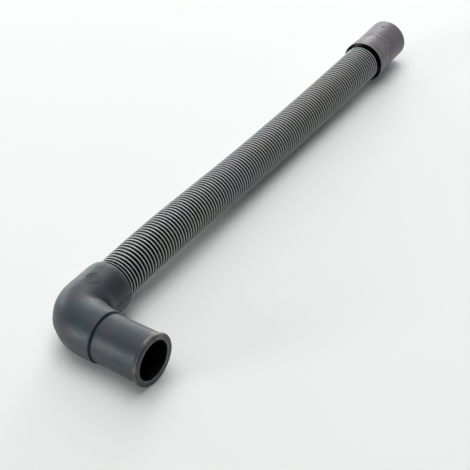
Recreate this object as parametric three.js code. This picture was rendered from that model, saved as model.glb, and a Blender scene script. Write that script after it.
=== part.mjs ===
// Internal drain hose of a dishwasher, lying on a flat surface as it comes to rest.
//
// A corrugated tube is pushed into the socket of a moulded rubber elbow at one end and into
// a short moulded cuff at the other. The elbow turns the flow into a plain spigot with a
// bead round its mouth, and the cuff ends in a plain round outlet.
//
// Millimetres, +Z up. The tube runs along +X from the elbow to the cuff, and the spigot
// points roughly towards -Y. Each piece is turned as a straight form about its own axis and
// then laid along its centre line, so every size along a piece is a distance on that line.

import * as THREE from 'three';
import { mergeVertices } from 'three/addons/utils/BufferGeometryUtils.js';

// Fit of the tube in its two sockets, on the radius and at its ends
const seatClearance = 0.3;

// Corrugated tube
const tubeDiameter = 30;
const wallUnderGroove = 0.9;
const freeSpan = 360.9;
const ribPitch = 3;
const ribDepth = 2;
const firstGroove = 1.6;
const plainBand = 0.8;

// How the free tube rests, by share of its span: how far its centre line lies to the side and
// how high over the surface. It humps a little past the elbow, sags until it nearly lies down,
// and rises into the cuff.
const restingLine = [
  [0.05, -0.2, 18.9],
  [0.1, -0.5, 19.6],
  [0.15, -0.6, 19.8],
  [0.2, -0.6, 19.6],
  [0.3, -0.4, 18.3],
  [0.4, -0.1, 16.7],
  [0.5, 0.2, 15.6],
  [0.6, 0.4, 15.2],
  [0.7, 0.3, 15.3],
  [0.8, 0.1, 15.9],
  [0.9, 0, 16.7],
];

// Length at each end of the span over which the tube still runs straight out of its socket
const straightExit = 3.6;

// Elbow: from the socket, round the bend and over a shoulder to the spigot. The body is
// thickest at the socket and narrowest in the middle of the bend.
const elbowTurn = 86.6;
const bendRadius = 18.2;
const socketDiameter = 35.8;
const bendDiameter = 34.8;
const shoulderDiameter = 35.4;
const elbowBore = 27.3;
const socketDepth = 22;
const socketToBend = 4.6;
const noseLength = 5;
const lipWall = 0.6;
const bendToShoulder = 12.6;
const shoulderRound = 1.2;
const shoulderGroove = 1;
const shoulderGrooveDepth = 0.5;
const spigotLength = 37.5;
const spigotRootDiameter = 32.8;
const spigotEndDiameter = 33.8;
const beadDiameter = 35.6;
const beadWidth = 3.5;
const beadCrown = 0.7;
const mouthFaceDiameter = 34.4;
const mouthChamfer = 0.6;

// Cuff: lengths are measured from its mouth, where the tube goes in. It rises a little
// towards its far end and swings a little to the side.
const cuffRise = 1.2;
const cuffSwing = 0.9;
const cuffLength = 48.1;
const cuffGripDepth = 22;
const cuffMouthDiameter = 35;
const cuffMouthWall = 1;
const cuffBellDepth = 4.5;
const cuffRingAt = 19.9;
const cuffRingWidth = 1.2;
const cuffRingDepth = 0.3;
const cuffWaistDiameter = 33.2;
const cuffEndDiameter = 33.6;
const cuffEndRound = 1.2;
const cuffOutletBore = 28;

// Smoothness of the round forms
const sides = 24;
const bendSteps = 10;
const roundSteps = 3;
const boreStep = 85;

const tubeRadius = tubeDiameter / 2;
const tubeBoreRadius = tubeRadius - ribDepth - wallUnderGroove;
const seatRadius = tubeRadius + seatClearance;
const socketRadius = socketDiameter / 2;
const cuffMouthRadius = cuffMouthDiameter / 2;
const up = new THREE.Vector3(0, 0, 1);

// The elbow's socket and the cuff's mouth are the widest round forms, so they lie on the surface
const elbowHeight = socketRadius;
const cuffHeight = cuffMouthRadius;

// Point of a turned profile: radius from the axis, and distance along it
function at(radius, distance) {
  return new THREE.Vector2(radius, distance);
}

// Quarter of an ellipse between two points of a profile. It leaves the first point along the
// axis when alongFirst is true, and square to the axis when it is false.
function quarter(from, to, alongFirst) {
  const points = [];
  for (let step = 0; step <= roundSteps; step += 1) {
    const angle = (step / roundSteps) * (Math.PI / 2);
    const slow = 1 - Math.cos(angle);
    const quick = Math.sin(angle);
    const radial = alongFirst ? slow : quick;
    const axial = alongFirst ? quick : slow;
    const radius = from.x + (to.x - from.x) * radial;
    points.push(at(radius, from.y + (to.y - from.y) * axial));
  }
  return points;
}

// Evenly spaced points from one distance to another, with the radius that applies at each
function run(radiusAt, from, to, steps) {
  const points = [];
  for (let step = 0; step <= steps; step += 1) {
    const distance = from + ((to - from) * step) / steps;
    points.push(at(radiusAt(distance), distance));
  }
  return points;
}

// Turns a closed profile about its axis and lays that axis along a centre line, which gives
// the centre and the direction at each distance. The outside of the profile runs forwards.
function layTurnedForm(profile, centreLine) {
  const turned = new THREE.LatheGeometry([...profile, profile[0]], sides);
  const position = turned.getAttribute('position');
  const straight = new THREE.Vector3();
  for (let index = 0; index < position.count; index += 1) {
    straight.fromBufferAttribute(position, index);
    const { centre, along } = centreLine(straight.y);
    const side = new THREE.Vector3().crossVectors(up, along).normalize();
    const top = new THREE.Vector3().crossVectors(along, side);
    const laid = centre.clone().addScaledVector(top, straight.x);
    laid.addScaledVector(side, straight.z);
    position.setXYZ(index, laid.x, laid.y, laid.z);
  }
  turned.deleteAttribute('normal');
  turned.deleteAttribute('uv');
  const body = mergeVertices(turned, 1e-4);
  body.computeVertexNormals();
  return body;
}

function piece(name, geometry, color, roughness) {
  const material = new THREE.MeshStandardMaterial({ color, roughness, metalness: 0 });
  const mesh = new THREE.Mesh(geometry, material);
  mesh.name = name;
  return mesh;
}

// Elbow centre line: from the socket's lip towards -X, round the bend, and out to the mouth
const turnAngle = THREE.MathUtils.degToRad(elbowTurn);
const cornerToBend = bendRadius * Math.tan(turnAngle / 2);
const bendStart = socketDepth + socketToBend;
const bendEnd = bendStart + bendRadius * turnAngle;
const bendMiddle = (bendStart + bendEnd) / 2;
const shoulder = bendEnd + bendToShoulder;
const socketReach = cornerToBend + bendStart;

function elbowLine(distance) {
  const turned = THREE.MathUtils.clamp((distance - bendStart) / bendRadius, 0, turnAngle);
  const heading = Math.PI + turned;
  const along = new THREE.Vector3(Math.cos(heading), Math.sin(heading), 0);
  const bent = new THREE.Vector3(
    cornerToBend - bendRadius * Math.sin(turned),
    -bendRadius * (1 - Math.cos(turned)),
    elbowHeight,
  );
  const straightPart = distance < bendStart ? distance - bendStart : Math.max(distance - bendEnd, 0);
  return { centre: bent.addScaledVector(along, straightPart), along };
}

// Outside of the elbow's body: it narrows into the bend and widens again to the shoulder
function bodyRadius(distance) {
  if (distance < bendMiddle) {
    const narrowing = THREE.MathUtils.smoothstep(distance, bendStart, bendMiddle);
    return THREE.MathUtils.lerp(socketDiameter, bendDiameter, narrowing) / 2;
  }
  const widening = THREE.MathUtils.smoothstep(distance, bendMiddle, shoulder);
  return THREE.MathUtils.lerp(bendDiameter, shoulderDiameter, widening) / 2;
}

// Elbow: a thick rubber body that narrows to a thin lip round the tube, a shoulder with a
// groove where the spigot begins, and a bead round the spigot's mouth
function makeElbow() {
  const spigotRoot = shoulder + shoulderGroove;
  const mouth = shoulder + spigotLength;
  const bead = mouth - beadWidth;
  const crownStart = bead + (beadWidth - beadCrown) / 2;
  const lipRadius = seatRadius + lipWall;
  const boreRadius = elbowBore / 2;
  const shoulderRadius = shoulderDiameter / 2;
  const rootRadius = spigotRootDiameter / 2;
  const grooveRadius = rootRadius - shoulderGrooveDepth;
  const endRadius = spigotEndDiameter / 2;
  const beadRadius = beadDiameter / 2;
  const faceRadius = mouthFaceDiameter / 2;
  const outside = [
    ...quarter(at(lipRadius, 0), at(socketRadius, noseLength), false),
    ...run(bodyRadius, bendStart, bendEnd, bendSteps),
    ...quarter(
      at(shoulderRadius, shoulder - shoulderRound),
      at(shoulderRadius - shoulderRound, shoulder),
      true,
    ),
    at(grooveRadius, shoulder),
    at(grooveRadius, spigotRoot),
    at(rootRadius, spigotRoot),
    ...quarter(at(endRadius, bead), at(beadRadius, crownStart), false),
    ...quarter(at(beadRadius, crownStart + beadCrown), at(faceRadius, mouth), true),
  ];
  const inside = [
    at(boreRadius + mouthChamfer, mouth),
    at(boreRadius, mouth - mouthChamfer),
    ...run(() => boreRadius, bendEnd, bendStart, bendSteps),
    at(boreRadius, socketDepth),
    at(seatRadius, socketDepth),
    at(seatRadius, 0),
  ];
  return layTurnedForm([...outside, ...inside], elbowLine);
}

// Cuff centre line: straight from the end of the free span
const cuffAlong = new THREE.Vector3(
  1,
  Math.tan(THREE.MathUtils.degToRad(cuffSwing)),
  Math.tan(THREE.MathUtils.degToRad(cuffRise)),
).normalize();
const cuffMouth = new THREE.Vector3(socketReach + freeSpan, 0, cuffHeight);

function cuffLine(distance) {
  return { centre: cuffMouth.clone().addScaledVector(cuffAlong, distance), along: cuffAlong };
}

// Tube centre line: straight in the elbow's socket, sagging over the free span, and straight
// again in the cuff
const tubeInElbow = socketDepth - seatClearance;
const tubeInCuff = cuffGripDepth - seatClearance;

const spanPoints = [
  new THREE.Vector3(socketReach, 0, elbowHeight),
  new THREE.Vector3(socketReach + straightExit, 0, elbowHeight),
  ...restingLine.map(
    ([share, sideways, height]) => new THREE.Vector3(socketReach + share * freeSpan, sideways, height),
  ),
  cuffLine(-straightExit).centre,
  cuffMouth,
];
const spanCurve = new THREE.CatmullRomCurve3(spanPoints);
const spanLength = spanCurve.getLength();

function tubeLine(distance) {
  const alongSpan = distance - tubeInElbow;
  if (alongSpan <= 0) {
    return elbowSeat(alongSpan);
  }
  if (alongSpan >= spanLength) {
    return cuffLine(alongSpan - spanLength);
  }
  const share = alongSpan / spanLength;
  return { centre: spanCurve.getPointAt(share), along: spanCurve.getTangentAt(share) };
}

// The tube's seat in the elbow, by distance from the socket's lip along +X
function elbowSeat(distance) {
  const centre = new THREE.Vector3(socketReach + distance, 0, elbowHeight);
  return { centre, along: new THREE.Vector3(1, 0, 0) };
}

// Tube: round ribs all along the free span, with a plain end in each socket and a narrow plain
// band in front of the cuff
function makeTube() {
  const tubeEnd = tubeInElbow + spanLength + tubeInCuff;
  const ribbedFrom = tubeInElbow + firstGroove;
  const ribRoom = spanLength - firstGroove + ribPitch / 2 - plainBand;
  const grooves = Math.floor(ribRoom / ribPitch);
  const outside = [at(tubeRadius, 0), at(tubeRadius, ribbedFrom - ribPitch / 2)];
  for (let groove = 0; groove < grooves; groove += 1) {
    const bottom = ribbedFrom + groove * ribPitch;
    outside.push(at(tubeRadius - ribDepth, bottom));
    outside.push(at(tubeRadius, bottom + ribPitch / 2));
  }
  outside.push(at(tubeRadius, tubeEnd));
  const inside = run(() => tubeBoreRadius, tubeEnd, 0, Math.ceil(tubeEnd / boreStep));
  return layTurnedForm([...outside, ...inside], tubeLine);
}

// Cuff: a mouth belled out from the tube, a grip bore, a fine ring where the tube stops inside,
// and a plain outlet with a rounded end
function makeCuff() {
  const waistRadius = cuffWaistDiameter / 2;
  const endRadius = cuffEndDiameter / 2;
  const outletRadius = cuffOutletBore / 2;
  const outside = [
    at(cuffMouthRadius, 0),
    at(cuffMouthRadius, cuffBellDepth),
    at(waistRadius, cuffRingAt),
    at(waistRadius - cuffRingDepth, cuffRingAt + cuffRingWidth / 2),
    at(waistRadius, cuffRingAt + cuffRingWidth),
    ...quarter(at(endRadius, cuffLength - cuffEndRound), at(endRadius - cuffEndRound, cuffLength), true),
  ];
  const inside = [
    at(outletRadius, cuffLength),
    at(outletRadius, cuffGripDepth),
    at(seatRadius, cuffGripDepth),
    at(seatRadius, cuffBellDepth),
    at(cuffMouthRadius - cuffMouthWall, 0),
  ];
  return layTurnedForm([...outside, ...inside], cuffLine);
}

const group = new THREE.Group();
group.add(piece('elbow_connector', makeElbow(), 0x4b4c53, 0.5));
group.add(piece('drain_hose', makeTube(), 0x7d8580, 0.45));
group.add(piece('end_cuff', makeCuff(), 0x6f6c74, 0.5));

// The origin is on the surface, under the middle of the whole hose's box
const extent = new THREE.Box3().setFromObject(group);
const middle = extent.getCenter(new THREE.Vector3());
group.position.set(-middle.x, -middle.y, -extent.min.z);

export default group;
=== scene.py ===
import math

import bmesh
import bpy
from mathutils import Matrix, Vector


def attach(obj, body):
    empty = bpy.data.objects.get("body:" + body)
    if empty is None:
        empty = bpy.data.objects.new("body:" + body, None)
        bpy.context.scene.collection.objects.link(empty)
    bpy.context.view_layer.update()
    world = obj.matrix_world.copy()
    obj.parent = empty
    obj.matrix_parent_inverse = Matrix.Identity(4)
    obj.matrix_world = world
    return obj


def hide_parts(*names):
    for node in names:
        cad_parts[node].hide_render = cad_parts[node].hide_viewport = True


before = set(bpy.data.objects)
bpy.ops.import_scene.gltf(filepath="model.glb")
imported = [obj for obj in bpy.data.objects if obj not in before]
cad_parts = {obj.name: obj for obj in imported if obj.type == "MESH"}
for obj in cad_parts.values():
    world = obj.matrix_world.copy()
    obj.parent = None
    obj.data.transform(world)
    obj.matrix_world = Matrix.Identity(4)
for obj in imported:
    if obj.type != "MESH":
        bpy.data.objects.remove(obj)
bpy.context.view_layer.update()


# Camera
# The photograph looks down along the hose from beyond the elbow, with a long lens. Its place,
# direction and lens were fitted to the edges of the elbow, the tube and the cuff.

camera_place = Vector((-0.67679, -0.38126, 0.51858))
camera_yaw = math.radians(31.688)
camera_pitch = math.radians(35.688)
lens_mm = 95.764
sensor_mm = 36


def add_object(name, data):
    """A new object with this data, linked to the scene."""
    added = bpy.data.objects.new(name, data)
    bpy.context.scene.collection.objects.link(added)
    return added


camera_data = bpy.data.cameras.new("camera")
camera_data.lens = lens_mm
camera_data.sensor_width = sensor_mm
camera_data.clip_end = 20
camera = add_object("camera", camera_data)
camera.location = camera_place
camera.rotation_euler = (math.pi / 2 - camera_pitch, 0, camera_yaw - math.pi / 2)
bpy.context.scene.camera = camera


# Drain hose
# A tube of grey polypropylene, blown into ribs as it is extruded. Its plain ends are pushed
# into the elbow and the cuff, with a narrow neck in the cuff's mouth. It humps, sags and rises.

crossing = Vector((-0.215733, 0.025126, 0.0179))
lip_reach = 0.043751
free_span = 0.3609
seat_in_elbow = 0.0217
seat_in_cuff = 0.0217
straight_exit = 0.0036
cuff_height = 0.0175
cuff_along = Vector((1, 0.015709, 0.020947)).normalized()
tube_diameter = 0.030
tube_wall = 0.0009
rib_pitch = 0.003
rib_depth = 0.002
groove_sharpness = 1.4
first_groove = 0.0016
groove_count = 120
neck_length = 0.008
tube_sides = 52
steps_per_rib = 8
bore_steps_per_rib = 4
spare_rows = 3
weld_distance = 0.00002
crease_angle = math.radians(75)

# How the free tube rests: share of the span, place to the side and height of its middle
resting_line = [
    (0.05, -0.0002, 0.0189),
    (0.1, -0.0005, 0.0196),
    (0.15, -0.0006, 0.0198),
    (0.2, -0.0006, 0.0196),
    (0.3, -0.0004, 0.0183),
    (0.4, -0.0001, 0.0167),
    (0.5, 0.0002, 0.0156),
    (0.6, 0.0004, 0.0152),
    (0.7, 0.0003, 0.0153),
    (0.8, 0.0001, 0.0159),
    (0.9, 0, 0.0167),
]

lip = crossing + Vector((lip_reach, 0, 0))
cuff_mouth = Vector((lip.x + free_span, crossing.y, cuff_height))
hose_path = [
    lip - Vector((seat_in_elbow, 0, 0)),
    lip - Vector((seat_in_elbow / 2, 0, 0)),
    lip,
    lip + Vector((straight_exit, 0, 0)),
    *[
        Vector((lip.x + share * free_span, crossing.y + sideways, height))
        for share, sideways, height in resting_line
    ],
    cuff_mouth - cuff_along * straight_exit,
    cuff_mouth,
    cuff_mouth + cuff_along * seat_in_cuff / 2,
    cuff_mouth + cuff_along * seat_in_cuff,
]


def add_node(tree, kind, settings=None, inputs=None):
    """Adds a node with its settings.

    An input is a value or what feeds it: a socket, or a node for that node's first output.
    """
    node = tree.nodes.new(kind)
    for name, value in (settings or {}).items():
        setattr(node, name, value)
    for key, value in (inputs or {}).items():
        if isinstance(value, bpy.types.Node):
            value = value.outputs[0]
        if isinstance(value, bpy.types.NodeSocket):
            tree.links.new(value, node.inputs[key])
        else:
            node.inputs[key].default_value = value
    return node


def corrugated_tube_tree():
    """Wraps a ribbed tube round the curve that it is put on, with a wall and closed ends."""
    tree = bpy.data.node_groups.new("corrugated_tube", "GeometryNodeTree")
    interface = tree.interface
    interface.new_socket("Geometry", in_out="INPUT", socket_type="NodeSocketGeometry")
    interface.new_socket("Geometry", in_out="OUTPUT", socket_type="NodeSocketGeometry")
    for name in ("Diameter", "Wall", "Rib pitch", "Rib depth", "First groove", "Last groove",
                 "Neck"):
        interface.new_socket(name, in_out="INPUT", socket_type="NodeSocketFloat")
    for name in ("Sides", "Steps per rib", "Bore steps per rib"):
        interface.new_socket(name, in_out="INPUT", socket_type="NodeSocketInt")
    interface.new_socket("Material", in_out="INPUT", socket_type="NodeSocketMaterial")

    given = add_node(tree, "NodeGroupInput").outputs
    line = given["Geometry"]
    on_grid = add_node(tree, "ShaderNodeSeparateXYZ", inputs={
        0: add_node(tree, "GeometryNodeInputPosition"),
    }).outputs
    surfaces = []
    for outside in (True, False):
        # Each sum names its result, its operation and what that works on. Along and across run
        # from -0.5 to 0.5 over a flat grid, which is then wrapped round the line.
        sums = [
            ("step", "DIVIDE", "Rib pitch", "Steps per rib" if outside else "Bore steps per rib"),
            ("steps", "DIVIDE", "length", "step"),
            ("whole steps", "CEIL", "steps"),
            ("rows", "ADD", "whole steps", 2 * spare_rows),
            ("last row", "SUBTRACT", "rows", 1),
            ("share", "ADD", "along", 0.5),
            ("row place", "MULTIPLY", "share", "last row"),
            ("row", "ROUND", "row place"),

            # Rows lie on whole steps from the first groove. Those past an end gather on its rim.
            ("part step", "MODULO", "First groove", "step"),
            ("spare length", "MULTIPLY", "step", spare_rows),
            ("shift", "SUBTRACT", "part step", "spare length"),
            ("reached", "MULTIPLY_ADD", "row", "step", "shift"),
            ("not before start", "MAXIMUM", "reached", 0),
            ("distance", "MINIMUM", "not before start", "length"),

            # A groove sinks at every whole number of pitches from the first groove to the last
            ("past first", "SUBTRACT", "distance", "First groove"),
            ("pitches", "DIVIDE", "past first", "Rib pitch"),
            ("span", "SUBTRACT", "Last groove", "First groove"),
            ("span in pitches", "DIVIDE", "span", "Rib pitch"),
            ("last pitch", "ROUND", "span in pitches"),
            ("end of last", "ADD", "last pitch", 0.5),
            ("from first", "GREATER_THAN", "pitches", -0.5),
            ("before last", "LESS_THAN", "pitches", "end of last"),
            ("in ribs", "MULTIPLY", "from first", "before last"),
            ("wave angle", "MULTIPLY", "pitches", 2 * math.pi),
            ("wave", "COSINE", "wave angle"),
            ("wave from 0 to 1", "MULTIPLY_ADD", "wave", 0.5, 0.5),
            ("sharp wave", "POWER", "wave from 0 to 1", groove_sharpness),
            ("in groove", "MULTIPLY", "sharp wave", "in ribs"),

            # The last groove runs on as a neck
            ("past last", "SUBTRACT", "distance", "Last groove"),
            ("after last", "GREATER_THAN", "past last", 0),
            ("before neck end", "LESS_THAN", "past last", "Neck"),
            ("in neck", "MULTIPLY", "after last", "before neck end"),
            ("sunk", "MAXIMUM", "in groove", "in neck"),
            ("depth", "MULTIPLY", "sunk", "Rib depth"),
            ("crest", "MULTIPLY", "Diameter", 0.5),
            ("outer", "SUBTRACT", "crest", "depth"),

            # The bore lies a wall deeper, and at both rims the outside comes in to meet it
            ("start of rim", "MULTIPLY", "step", -1),
            ("past start", "LESS_THAN", "reached", "start of rim"),
            ("end of rim", "ADD", "length", "step"),
            ("past end", "GREATER_THAN", "reached", "end of rim"),
            ("on rim", "MAXIMUM", "past start", "past end"),
            ("inwards", "MULTIPLY", "on rim" if outside else 1, "Wall"),
            ("radius", "SUBTRACT", "outer", "inwards"),

            # Places round the line
            ("points in a ring", "ADD", "Sides", 1),
            ("share of a turn", "ADD", "across", 0.5),
            ("turn", "MULTIPLY", "share of a turn", 2 * math.pi),
            ("upwards", "COSINE", "turn"),
            ("sideways", "SINE", "turn"),
        ]
        known = {socket.name: socket for socket in given}
        known["length"] = add_node(tree, "GeometryNodeCurveLength", inputs={0: line})
        known["along"] = on_grid["X"]
        known["across"] = on_grid["Y"]
        for result, operation, *values in sums:
            inputs = {index: known.get(value, value) for index, value in enumerate(values)}
            known[result] = add_node(tree, "ShaderNodeMath", {"operation": operation}, inputs)

        middle = add_node(tree, "GeometryNodeSampleCurve", {"mode": "LENGTH"}, {
            "Curves": line, "Length": known["distance"],
        }).outputs
        side = add_node(tree, "ShaderNodeVectorMath", {"operation": "CROSS_PRODUCT"}, {
            0: middle["Tangent"], 1: middle["Normal"],
        })
        upwards = add_node(tree, "ShaderNodeVectorMath", {"operation": "SCALE"}, {
            0: middle["Normal"], "Scale": known["upwards"],
        })
        sideways = add_node(tree, "ShaderNodeVectorMath", {"operation": "SCALE"}, {
            0: side, "Scale": known["sideways"],
        })
        outwards = add_node(tree, "ShaderNodeVectorMath", {"operation": "ADD"}, {
            0: upwards, 1: sideways,
        })
        to_surface = add_node(tree, "ShaderNodeVectorMath", {"operation": "SCALE"}, {
            0: outwards, "Scale": known["radius"],
        })
        place = add_node(tree, "ShaderNodeVectorMath", {"operation": "ADD"}, {
            0: middle["Position"], 1: to_surface,
        })

        grid = add_node(tree, "GeometryNodeMeshGrid", inputs={
            "Size X": 1, "Size Y": 1,
            "Vertices X": known["rows"], "Vertices Y": known["points in a ring"],
        })
        mapped = add_node(tree, "ShaderNodeCombineXYZ", inputs={
            0: known["distance"], 1: known["across"],
        })
        surface = add_node(tree, "GeometryNodeStoreNamedAttribute", {
            "data_type": "FLOAT2", "domain": "CORNER",
        }, {"Geometry": grid, "Name": "along_tube", "Value": mapped})
        surface = add_node(tree, "GeometryNodeStoreNamedAttribute", {
            "data_type": "FLOAT", "domain": "POINT",
        }, {"Geometry": surface, "Name": "groove", "Value": known["sunk"]})
        surface = add_node(tree, "GeometryNodeSetPosition", inputs={
            "Geometry": surface, "Position": place,
        })
        if outside:
            surface = add_node(tree, "GeometryNodeFlipFaces", inputs={"Mesh": surface})
        surfaces.append(surface)

    joined = add_node(tree, "GeometryNodeJoinGeometry")
    for surface in surfaces:
        tree.links.new(surface.outputs[0], joined.inputs[0])
    welded = add_node(tree, "GeometryNodeMergeByDistance", inputs={
        "Geometry": joined, "Distance": weld_distance,
    })
    smooth = add_node(tree, "GeometryNodeSetShadeSmooth", inputs={"Geometry": welded})
    real = add_node(tree, "GeometryNodeRealizeInstances", inputs={"Geometry": smooth})
    covered = add_node(tree, "GeometryNodeSetMaterial", inputs={
        "Geometry": real, "Material": given["Material"],
    })
    add_node(tree, "NodeGroupOutput", inputs={0: covered})
    return tree


def linear(hex_colour):
    """An sRGB colour such as "#4a4b52" as linear red, green, blue and alpha."""
    channels = [int(hex_colour[start:start + 2], 16) / 255 for start in (1, 3, 5)]
    return (*[c / 12.92 if c <= 0.04045 else ((c + 0.055) / 1.055) ** 2.4 for c in channels], 1)


def new_material(name):
    """A new material, its node tree and its shader."""
    material = bpy.data.materials.new(name)
    material.use_nodes = True
    return material, material.node_tree, material.node_tree.nodes["Principled BSDF"]


def blown_polypropylene():
    """Blown polypropylene: a grey, waxy plastic with a soft shine on the crests of its ribs, helped
    by a painted highlight, and painted shade in its grooves.

    It drifts a little between a cool and a warmer grey, dust dulls it in patches, and the draw
    of the extruder leaves a fine ripple. A noise's scale is the lumps that it has in a metre.
    """
    material, tree, shader = new_material("blown_polypropylene")
    shader.inputs["IOR"].default_value = 1.49
    here = add_node(tree, "ShaderNodeTexCoord").outputs["Object"]

    # Each grey runs from the crest of a rib, at 0, to the bottom of a groove, at 1. The pale grey of
    # the crests is the plastic's own, lightened towards white at their tops as a painted highlight,
    # and the near-black in the grooves is painted shade.
    groove = add_node(tree, "ShaderNodeAttribute", {"attribute_name": "groove"}).outputs["Fac"]
    cool_grey = {0: "#e2e9eb", 0.05: "#b2bbbc", 0.22: "#192021", 1: "#030404"}
    warm_grey = {0: "#e4e8e5", 0.05: "#b2b9b4", 0.22: "#1b211e", 1: "#040404"}
    greys = []
    for stops in (cool_grey, warm_grey):
        grey = add_node(tree, "ShaderNodeValToRGB", inputs={0: groove})
        elements = grey.color_ramp.elements
        while len(elements) < len(stops):
            elements.new(1)
        for element, (place, hex_colour) in zip(elements, stops.items()):
            element.position = place
            element.color = linear(hex_colour)
        greys.append(grey)
    patches = add_node(tree, "ShaderNodeTexNoise", inputs={
        "Vector": here, "Scale": 30, "Detail": 2,
    })
    drift = add_node(tree, "ShaderNodeMapRange", inputs={
        "Value": patches, "From Min": 0.4, "From Max": 0.6,
    })
    colour = add_node(tree, "ShaderNodeMix", {"data_type": "RGBA"}, {
        0: drift, 6: greys[0], 7: greys[1],
    })
    tree.links.new(colour.outputs[2], shader.inputs["Base Color"])

    dust = add_node(tree, "ShaderNodeTexNoise", inputs={
        "Vector": here, "Scale": 220, "Detail": 3,
    })
    dulled = add_node(tree, "ShaderNodeMapRange", inputs={
        "Value": dust, "From Min": 0.35, "From Max": 0.65, "To Min": 0.28, "To Max": 0.38,
    })
    tree.links.new(dulled.outputs[0], shader.inputs["Roughness"])

    # The real ripple is about 0.5 mm long, which the render just shows
    ripple = add_node(tree, "ShaderNodeTexNoise", inputs={
        "Vector": here, "Scale": 2000, "Detail": 2,
    })
    bump = add_node(tree, "ShaderNodeBump", inputs={
        "Strength": 1, "Distance": 0.00002, "Height": ripple,
    })
    tree.links.new(bump.outputs["Normal"], shader.inputs["Normal"])
    return material


def set_input(modifier, name, value):
    """Sets a Geometry Nodes input by the identifier of the socket with this name."""
    sockets = modifier.node_group.interface.items_tree
    identifier = next(s.identifier for s in sockets if s.name == name and s.in_out == "INPUT")
    modifier[identifier] = value


def mesh_from_modifiers(name, source):
    """The evaluated object as a plain mesh object, which takes the place of its source.

    A curve has an empty material slot of its own before the one that its faces use.
    """
    depsgraph = bpy.context.evaluated_depsgraph_get()
    mesh = bpy.data.meshes.new_from_object(source.evaluated_get(depsgraph))
    mesh.name = name
    if mesh.materials[0] is None:
        mesh.materials.pop(index=0)
    bpy.data.objects.remove(source)
    return add_object(name, mesh)


hose_line = bpy.data.curves.new("hose_line", "CURVE")
hose_line.dimensions = "3D"
hose_line.twist_mode = "Z_UP"
hose_line.resolution_u = 16
spline = hose_line.splines.new("BEZIER")
spline.bezier_points.add(len(hose_path) - 1)
for point, place in zip(spline.bezier_points, hose_path):
    point.co = place
    point.handle_left_type = "AUTO"
    point.handle_right_type = "AUTO"
line_object = add_object("hose_line", hose_line)

ribs_from = seat_in_elbow + first_groove
wrap = line_object.modifiers.new("corrugated_tube", "NODES")
wrap.node_group = corrugated_tube_tree()
for name, value in {
    "Diameter": tube_diameter,
    "Wall": tube_wall,
    "Rib pitch": rib_pitch,
    "Rib depth": rib_depth,
    "First groove": ribs_from,
    "Last groove": ribs_from + (groove_count - 1) * rib_pitch,
    "Neck": neck_length,
    "Sides": tube_sides,
    "Steps per rib": steps_per_rib,
    "Bore steps per rib": bore_steps_per_rib,
    "Material": blown_polypropylene(),
}.items():
    set_input(wrap, name, value)
hose = mesh_from_modifiers("corrugated_hose", line_object)
hose.data.set_sharp_from_angle(angle=crease_angle)
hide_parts("drain_hose")
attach(hose, "root")


# Elbow
# One moulding of dark grey rubber: a socket with a thin lip round the tube, a tight bend, a
# shoulder with a groove behind it, and a plain spigot with a bead round its mouth.

elbow_turn = math.radians(86.6)
bend_radius = 0.0182
socket_depth = 0.022
socket_to_bend = 0.0046
bend_to_shoulder = 0.0126
spigot_length = 0.0375
seat_radius = 0.0153
lip_radius = 0.0159
socket_radius = 0.0179
bend_body_radius = 0.0174
shoulder_radius = 0.0177
elbow_bore_radius = 0.01365
spigot_root_radius = 0.0164
spigot_end_radius = 0.0169
bead_radius = 0.0178
mouth_face_radius = 0.0172
bend_steps = 32
turned_sides = 96
edge_angle = math.radians(50)
# Slack of the tests that tell the parts of a section from one another
hair = 0.0002
even_turns = [2 * math.pi * step / turned_sides for step in range(turned_sides)]

corner_to_bend = bend_radius * math.tan(elbow_turn / 2)
bend_start = socket_depth + socket_to_bend
bend_end = bend_start + bend_radius * elbow_turn
bend_middle = (bend_start + bend_end) / 2
shoulder = bend_end + bend_to_shoulder
mouth = shoulder + spigot_length


def elbow_line(distance):
    """Middle and direction of the elbow, at a distance from the lip along its centre line."""
    turned = min(max((distance - bend_start) / bend_radius, 0), elbow_turn)
    heading = math.pi + turned
    along = Vector((math.cos(heading), math.sin(heading), 0))
    across = corner_to_bend - bend_radius * math.sin(turned)
    bent = crossing + Vector((across, -bend_radius * (1 - math.cos(turned)), 0))
    straight = distance - bend_start if distance < bend_start else max(distance - bend_end, 0)
    return bent + along * straight, along


def rounded(corners, steps=5):
    """A profile whose corners (radius, distance, rounding) are rounded off."""
    profile = []
    for index, (radius, distance, rounding) in enumerate(corners):
        corner = Vector((radius, distance))
        before = Vector(corners[index - 1][:2])
        after = Vector(corners[(index + 1) % len(corners)][:2])
        if not rounding:
            profile.append(corner)
            continue
        start = corner + (before - corner).normalized() * min(rounding, (before - corner).length / 2)
        end = corner + (after - corner).normalized() * min(rounding, (after - corner).length / 2)
        for step in range(steps + 1):
            share = step / steps
            profile.append(start.lerp(corner, share).lerp(corner.lerp(end, share), share))
    return profile


def with_points_every(profile, spacing):
    """The closed profile with points added, so that none are further apart than spacing."""
    dense = []
    for start, end in zip(profile, profile[1:] + profile[:1]):
        count = math.ceil((end - start).length / spacing - 0.001)
        dense += [start.lerp(end, step / count) for step in range(count)]
    return dense


def place_on(line, radius, distance, turn):
    """The point at a radius and a turn from the top, round a line at a distance along it."""
    middle, along = line(distance)
    side = Vector((0, 0, 1)).cross(along).normalized()
    top = along.cross(side)
    return middle + (top * math.cos(turn) + side * math.sin(turn)) * radius


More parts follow.
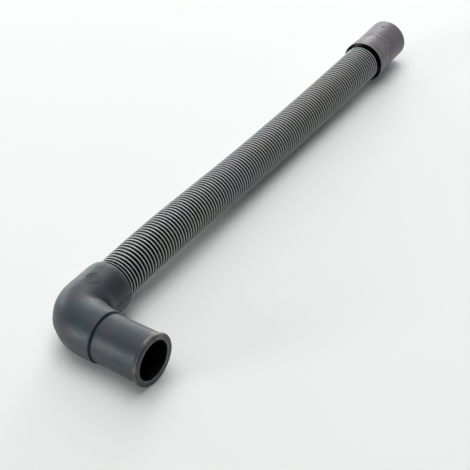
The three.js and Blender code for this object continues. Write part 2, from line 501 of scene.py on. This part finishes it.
def turned_piece(name, profile, line, turns, inside, painted_highlight, relief):
    """Turns a closed profile (radius, distance) and lays its axis along a line.

    The turns are angles from the top. The two tests say whether (radius, distance) is in the bore,
    which gets painted shade, or on an edge, which gets a painted highlight, and relief gives a
    height to add at (radius, distance, turn).
    """
    mesh = bpy.data.meshes.new(name)
    vertices = []
    for radius, distance in profile:
        for turn in turns:
            height = relief(radius, distance, turn)
            vertices.append(place_on(line, radius + height, distance, turn))
    faces = []
    sides = len(turns)
    for ring in range(len(profile)):
        following = (ring + 1) % len(profile)
        for step in range(sides):
            after = (step + 1) % sides
            faces.append((
                ring * sides + step, following * sides + step,
                following * sides + after, ring * sides + after,
            ))
    mesh.from_pydata(vertices, [], faces)
    mesh.shade_smooth()
    mesh.set_sharp_from_angle(angle=edge_angle)
    for key, test in (("inside", inside), ("painted_highlight", painted_highlight)):
        shade = mesh.attributes.new(key, "FLOAT", "POINT")
        values = [float(test(radius, distance)) for radius, distance in profile]
        shade.data.foreach_set("value", [value for value in values for _ in turns])
    return add_object(name, mesh)


def body_radius(distance):
    """Outside of the elbow's body: narrow in the bend, wider at the socket and the shoulder."""
    if distance < bend_middle:
        share = min(max((distance - bend_start) / (bend_middle - bend_start), 0), 1)
        start, end = socket_radius, bend_body_radius
    else:
        share = min((distance - bend_middle) / (shoulder - bend_middle), 1)
        start, end = bend_body_radius, shoulder_radius
    return start + (end - start) * share * share * (3 - 2 * share)


bend_corners = []
for step in range(bend_steps + 1):
    distance = bend_start + (bend_end - bend_start) * step / bend_steps
    bend_corners.append((body_radius(distance), distance, 0))
# Corners of the elbow's section: radius, distance from the lip and rounding
elbow_corners = [
    (lip_radius, 0, 0.0003),
    (lip_radius + 0.0014, 0.0012, 0.001),
    (socket_radius, 0.005, 0.002),
    *bend_corners,
    (shoulder_radius, shoulder, 0.0014),
    (spigot_root_radius - 0.0005, shoulder, 0.0003),
    (spigot_root_radius - 0.0005, shoulder + 0.001, 0.0003),
    (spigot_root_radius, shoulder + 0.0013, 0.0003),
    (spigot_end_radius, mouth - 0.0036, 0.0005),
    (bead_radius, mouth - 0.0021, 0.0008),
    (bead_radius, mouth - 0.0008, 0.0008),
    (mouth_face_radius, mouth, 0.0005),
    (elbow_bore_radius + 0.0005, mouth, 0.0003),
    (elbow_bore_radius, mouth - 0.0005, 0.0003),
    (elbow_bore_radius, bend_end, 0),
    (elbow_bore_radius, bend_start, 0),
    (elbow_bore_radius, socket_depth, 0),
    (seat_radius, socket_depth, 0),
    (seat_radius, 0, 0.0002),
]
elbow_profile = with_points_every(rounded(elbow_corners), spacing=0.0015)


def moulded_rubber(name, colours, bore_shade_colour, painted_highlight_colour, roughness, bloom, stains_and_shade):
    """Moulded rubber: a dense satin surface that drifts between two greys, with painted shade
    darkening its bore.

    Painted highlights pale its edges, bloom pales it where it turns away, and haze dulls its
    shine in patches. Stains, and spots of painted shade, are (place, radius, colour).
    """
    material, tree, shader = new_material(name)
    shader.inputs["IOR"].default_value = 1.52
    shader.inputs["Sheen Weight"].default_value = bloom
    shader.inputs["Sheen Roughness"].default_value = 0.3
    here = add_node(tree, "ShaderNodeTexCoord").outputs["Object"]

    patches = add_node(tree, "ShaderNodeTexNoise", inputs={
        "Vector": here, "Scale": 45, "Detail": 2,
    })
    drift = add_node(tree, "ShaderNodeMapRange", inputs={
        "Value": patches, "From Min": 0.4, "From Max": 0.6,
    })
    colour = add_node(tree, "ShaderNodeMix", {"data_type": "RGBA"}, {
        0: drift, 6: linear(colours[0]), 7: linear(colours[1]),
    })

    # A stain or a spot of painted shade is broken up by a noise, and is whole only near its middle
    spot_core = 0.3
    covers = []
    for place, radius, hex_colour in stains_and_shade:
        apart = add_node(tree, "ShaderNodeVectorMath", {"operation": "DISTANCE"}, {
            0: here, 1: place,
        })
        near = add_node(tree, "ShaderNodeMapRange", {"interpolation_type": "SMOOTHSTEP"}, {
            "Value": apart.outputs["Value"], "From Min": radius * spot_core, "From Max": radius,
            "To Min": 1, "To Max": 0,
        })
        flecks = add_node(tree, "ShaderNodeTexNoise", inputs={
            "Vector": here, "Scale": 700, "Detail": 2,
        })
        left = add_node(tree, "ShaderNodeMapRange", inputs={
            "Value": flecks, "From Min": 0.25, "From Max": 0.5,
        })
        spotted = add_node(tree, "ShaderNodeMath", {"operation": "MULTIPLY"}, {0: near, 1: left})
        covers.append((spotted.outputs[0], hex_colour))
    # Painted highlights on the edges, and painted shade in the bore
    for key, hex_colour in (("painted_highlight", painted_highlight_colour), ("inside", bore_shade_colour)):
        there = add_node(tree, "ShaderNodeAttribute", {"attribute_name": key})
        covers.append((there.outputs["Fac"], hex_colour))
    for cover, hex_colour in covers:
        colour = add_node(tree, "ShaderNodeMix", {"data_type": "RGBA"}, {
            0: cover, 6: colour.outputs[2], 7: linear(hex_colour),
        })
    tree.links.new(colour.outputs[2], shader.inputs["Base Color"])

    bloomed = add_node(tree, "ShaderNodeTexNoise", inputs={
        "Vector": here, "Scale": 260, "Detail": 4, "Roughness": 0.6,
    })
    haze = add_node(tree, "ShaderNodeMapRange", inputs={
        "Value": bloomed, "From Min": 0.3, "From Max": 0.7,
        "To Min": roughness - 0.05, "To Max": roughness + 0.07,
    })
    tree.links.new(haze.outputs[0], shader.inputs["Roughness"])

    # The mould was spark-eroded to a grain near 0.1 mm. It is drawn at 1 mm, so that it shows.
    grain = add_node(tree, "ShaderNodeTexNoise", inputs={
        "Vector": here, "Scale": 1000, "Detail": 3, "Roughness": 0.6,
    })
    bump = add_node(tree, "ShaderNodeBump", inputs={
        "Strength": 1, "Distance": 0.00006, "Height": grain,
    })
    tree.links.new(bump.outputs["Normal"], shader.inputs["Normal"])
    return material


def raised_thread(mesh, line, radius, path, width, height):
    """Adds a low closed ridge to a mesh, along a path of (distance, turn) on a round form."""
    builder = bmesh.new()
    builder.from_mesh(mesh)
    # Its section in shares of its width and height, with a foot below the surface
    section = [(-0.5, -0.6), (0.5, -0.6), (0.35, 0.7), (0, 1), (-0.35, 0.7)]
    rings = []
    for index, (distance, turn) in enumerate(path):
        place = place_on(line, radius, distance, turn)
        before = place_on(line, radius, *path[max(index - 1, 0)])
        after = place_on(line, radius, *path[min(index + 1, len(path) - 1)])
        outwards = (place - line(distance)[0]).normalized()
        across = (after - before).cross(outwards).normalized()
        rings.append([
            builder.verts.new(place + across * width * sideways + outwards * height * up)
            for sideways, up in section
        ])
    for ring, following in zip(rings, rings[1:]):
        for step, vertex in enumerate(ring):
            after = (step + 1) % len(ring)
            builder.faces.new((vertex, following[step], following[after], ring[after]))
    builder.faces.new(rings[0])
    builder.faces.new(reversed(rings[-1]))
    builder.to_mesh(mesh)
    builder.free()


# The two halves of the mould met at half height. The lower half stood a little to the side,
# so there is a fine step there all along the elbow, with a thread of flash on it.
mould_shift = Vector((0.00016, -0.0004, 0))
flash_height = 0.00014
flash_turns = [math.radians(offset) for offset in (-1.3, -0.5, 0, 0.5, 1.3)]
# Cosines of the turns beside the flash, of those on it and of the first in the lower half
beside_flash = 0.03
on_flash = 0.009
lower_half = -0.001
parted_turns = sorted(
    [turn for turn in even_turns if abs(math.cos(turn)) > beside_flash]
    + [math.pi / 2 + offset for offset in flash_turns]
    + [3 * math.pi / 2 + offset for offset in flash_turns]
)


def parting_relief(radius, distance, turn):
    """Height of the mould's step and flash on the outside of the elbow."""
    if radius < seat_radius + hair:
        return 0
    side = Vector((0, 0, 1)).cross(elbow_line(distance)[1])
    step = mould_shift.dot(side) * math.sin(turn) if math.cos(turn) < lower_half else 0
    flash = flash_height if abs(math.cos(turn)) < on_flash else 0
    return step + flash


def inside_elbow(radius, distance):
    """Whether a point of the elbow's profile is in its bore or its socket, which painted shade
    darkens.
    """
    return radius < seat_radius + hair and hair < distance < mouth - 3 * hair


def elbow_highlight_edges(radius, distance):
    """Whether a point of the elbow's profile is on the lip's edge or the edge of the bore, where a
    painted highlight goes.
    """
    on_lip = distance < 2 * hair and radius > lip_radius - 2 * hair
    return on_lip or distance > mouth - 3 * hair and radius < elbow_bore_radius + 3 * hair


elbow = turned_piece(
    "elbow", elbow_profile, elbow_line, parted_turns, inside_elbow, elbow_highlight_edges, parting_relief
)

# A web of rubber fills the crease on the inner side of the bend
web_fill = 0.0026
web_reach = 0.006
web_middle = crossing + Vector((corner_to_bend, -bend_radius, 0))
web_way = Vector((1, -1, 0)).normalized()
for vertex, in_bore in zip(elbow.data.vertices, elbow.data.attributes["inside"].data):
    if in_bore.value == 0:
        apart = (vertex.co - web_middle).xy.length
        vertex.co += web_way * web_fill * math.exp(-(apart / web_reach)**2)

# A plain moulded mark stands low on top of the socket: a ring with three bars across it
mark_at = 0.0192
mark_turn = math.radians(4)
mark_radius = 0.0048
mark_steps = 40
bar_spacing = 0.002
bar_gap = 0.001
ridge_width = 0.0006
ridge_height = 0.00028
mark_paths = [[
    (mark_at + mark_radius * math.cos(turn),
     mark_turn + mark_radius * math.sin(turn) / socket_radius)
    for turn in [2 * math.pi * step / mark_steps for step in range(mark_steps + 1)]
]]
for bar in (-bar_spacing, 0, bar_spacing):
    half = math.sqrt(mark_radius**2 - bar**2) - bar_gap
    ends = [-half, -half / 2, 0, half / 2, half]
    mark_paths.append([(mark_at + bar, mark_turn + end / socket_radius) for end in ends])
for path in mark_paths:
    raised_thread(elbow.data, elbow_line, socket_radius, path, ridge_width, ridge_height)

# Grease and lime have stained the bead on top and down its outer side, and a near-black spot of
# painted shade stands for a nick in its face. Each stain is a turn, a radius and a colour.
bead_stains = [
    (math.radians(27), 0.007, "#7a6b49"), (math.radians(-12), 0.0045, "#55534a"),
    (math.radians(-76), 0.0038, "#625d4e"), (math.radians(-106), 0.004, "#56523f"),
]
stained_at = mouth - 0.001
nick_turn = math.radians(82)
nick_radius = 0.0013
elbow.data.materials.append(moulded_rubber(
    "moulded_elbow_rubber",
    colours=("#27373f", "#363841"),
    # Painted shade darkens the bore and the socket
    bore_shade_colour="#08080a",
    # Painted highlights pale the lip's edge and the bore's edge at the mouth
    painted_highlight_colour="#7d8183",
    roughness=0.47,
    bloom=0.1,
    stains_and_shade=[
        *[(place_on(elbow_line, bead_radius, stained_at, turn), radius, hex_colour)
          for turn, radius, hex_colour in bead_stains],
        # Painted shade where the face is nicked
        (place_on(elbow_line, mouth_face_radius, mouth, nick_turn), nick_radius, "#0b0b0b"),
    ],
))
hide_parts("elbow_connector")
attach(elbow, "root")


# Cuff
# A short moulding of lighter rubber on the tube's far end. Its mouth is belled out, a fine ring
# marks where the tube stops inside, and its far end is a plain round outlet.

cuff_length = 0.0481
cuff_grip = 0.022
cuff_mouth_radius = 0.0175
cuff_bell_radius = 0.01725
cuff_bell_depth = 0.0045
cuff_bell_bottom = 0.009
cuff_ring_at = 0.0205
cuff_waist_radius = 0.0166
cuff_end_radius = 0.0168
cuff_outlet_radius = 0.014


def cuff_line(distance):
    """Middle and direction of the cuff, at a distance from its mouth."""
    return cuff_mouth + cuff_along * distance, cuff_along


# Corners of the cuff's section: radius, distance from its mouth and rounding
cuff_corners = [
    (cuff_bell_radius, 0, 0.0002),
    (cuff_mouth_radius, 0, 0.0003),
    (cuff_mouth_radius, cuff_bell_depth, 0.002),
    (cuff_waist_radius, cuff_ring_at - 0.0014, 0.0002),
    (cuff_waist_radius - 0.0003, cuff_ring_at - 0.0008, 0.0002),
    (cuff_waist_radius + 0.0002, cuff_ring_at, 0.0003),
    (cuff_waist_radius, cuff_ring_at + 0.0012, 0.0003),
    (cuff_end_radius, cuff_length, 0.0012),
    (cuff_outlet_radius, cuff_length, 0.0006),
    (cuff_outlet_radius, cuff_grip, 0.0003),
    (seat_radius, cuff_grip, 0),
    (seat_radius, cuff_bell_bottom, 0.001),
    (cuff_bell_radius - 0.0004, cuff_bell_depth, 0.001),
]
cuff_profile = with_points_every(rounded(cuff_corners), spacing=0.0008)

# The moulding gate left a shallow dimple on top, past the ring, deepened by a dark spot of painted
# shade
gate_at = 0.0362
gate_turn = math.radians(-2)
gate_width = 0.0011
gate_depth = 0.0006
gate_shade_radius = 0.0025


def gate_relief(radius, distance, turn):
    """Depth of the gate's dimple on the outside of the cuff."""
    if radius < cuff_waist_radius - hair / 2:
        return 0
    around = math.remainder(turn - gate_turn, 2 * math.pi) * radius
    return -gate_depth * math.exp(-(around**2 + (distance - gate_at)**2) / gate_width**2)


def inside_cuff(radius, distance):
    """Whether a point of the cuff's profile is in its bore or its belled mouth, which painted shade
    darkens.
    """
    on_inner_rim = distance < 2 * hair and radius < cuff_bell_radius + hair / 2
    in_bell = distance < cuff_bell_bottom and radius < cuff_bell_radius - hair / 2
    return on_inner_rim or in_bell or radius < seat_radius + 2 * hair


def cuff_highlight_edges(radius, distance):
    """Whether a point of the cuff's profile is on its ring's crest or its mouth's edge, where a
    painted highlight goes.
    """
    on_rim = distance < 6 * hair and radius > cuff_bell_radius + hair / 2
    return on_rim or 0 < distance - cuff_ring_at < 4 * hair and radius > cuff_waist_radius


cuff = turned_piece(
    "cuff", cuff_profile, cuff_line, even_turns, inside_cuff, cuff_highlight_edges, gate_relief
)
gate_place = place_on(cuff_line, cuff_waist_radius, gate_at, gate_turn)
cuff.data.materials.append(moulded_rubber(
    "moulded_cuff_rubber",
    colours=("#66636d", "#706970"),
    # Painted shade darkens the bore and the belled mouth
    bore_shade_colour="#0b0b0d",
    # Painted highlights pale the ring's crest and the mouth's edge
    painted_highlight_colour="#8f8b92",
    roughness=0.48,
    bloom=0.25,
    # A dark spot of painted shade in the gate's dimple
    stains_and_shade=[(gate_place, gate_shade_radius, "#17151a")],
))
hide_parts("end_cuff")
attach(cuff, "root")


# Floor and light
# A pale, matt table in a dim studio. Low lamps stand behind the hose and past both its ends, and
# softboxes hang behind and over it. Only the room's faint light comes from the camera's side.

reach = 3.6
table_glow = 0.035
room_light = 0.035
room_seen = 0.9
lamp_distance = 4


def strength_for_camera(tree, seen, always):
    """A strength that is always there, with more of it where the camera looks at it."""
    camera_ray = add_node(tree, "ShaderNodeLightPath").outputs["Is Camera Ray"]
    return add_node(tree, "ShaderNodeMath", {"operation": "MULTIPLY_ADD"}, {
        0: camera_ray, 1: seen, 2: always,
    }).outputs[0]


floor_mesh = bpy.data.meshes.new("floor")
floor_mesh.from_pydata(
    [(-reach, -reach, 0), (reach, -reach, 0), (reach, reach, 0), (-reach, reach, 0)],
    [], [(0, 1, 2, 3)],
)
floor = add_object("floor", floor_mesh)
# Matt white table: a white laminate, which looks faintly blue-green where it lies in shadow
table, table_tree, table_shader = new_material("matt_white_table")
table_shader.inputs["Base Color"].default_value = linear("#f1f2f1")
table_shader.inputs["Roughness"].default_value = 0.7
table_shader.inputs["Emission Color"].default_value = linear("#e2f2f0")
glow = strength_for_camera(table_tree, table_glow, 0)
table_tree.links.new(glow, table_shader.inputs["Emission Strength"])
floor.data.materials.append(table)

world = bpy.data.worlds.new("room")
world.use_nodes = True
room_tree = world.node_tree
room_shader = room_tree.nodes["Background"]
room_shader.inputs["Color"].default_value = linear("#f4f6f5")
strength = strength_for_camera(room_tree, room_seen, room_light)
room_tree.links.new(strength, room_shader.inputs["Strength"])
bpy.context.scene.world = world


def soft_lamp(name, turn, rise, width, height, power):
    """A soft lamp turned to the hose, at a turn from +X and a rise over the table in degrees."""
    turn, rise = math.radians(turn), math.radians(rise)
    data = bpy.data.lights.new(name, "AREA")
    data.shape = "RECTANGLE"
    data.size = width
    data.size_y = height
    data.energy = power
    lamp = add_object(name, data)
    lamp.location = (
        lamp_distance * math.cos(rise) * math.cos(turn),
        lamp_distance * math.cos(rise) * math.sin(turn),
        lamp_distance * math.sin(rise),
    )
    lamp.rotation_euler = (-lamp.location).to_track_quat("-Z", "Y").to_euler()


soft_lamp("low_light_right", 355, 8, 2.0, 0.9, 27)
soft_lamp("low_light_far", 20, 12, 1.2, 1.0, 40)
soft_lamp("low_light_behind", 62, 7, 3.2, 0.8, 58)
soft_lamp("low_light_left", 150, 11, 1.3, 1.2, 59)
soft_lamp("softbox_behind", 30, 30, 2.0, 2.0, 29)
soft_lamp("high_softbox_right", 15, 55, 2.2, 2.2, 17)
soft_lamp("high_softbox_behind", 60, 55, 2.2, 2.2, 15)
soft_lamp("high_softbox_left", 150, 60, 2.4, 2.4, 17)
soft_lamp("softbox_overhead", 60, 86, 3.4, 3.4, 84)

bpy.context.scene.view_settings.view_transform = "Standard"
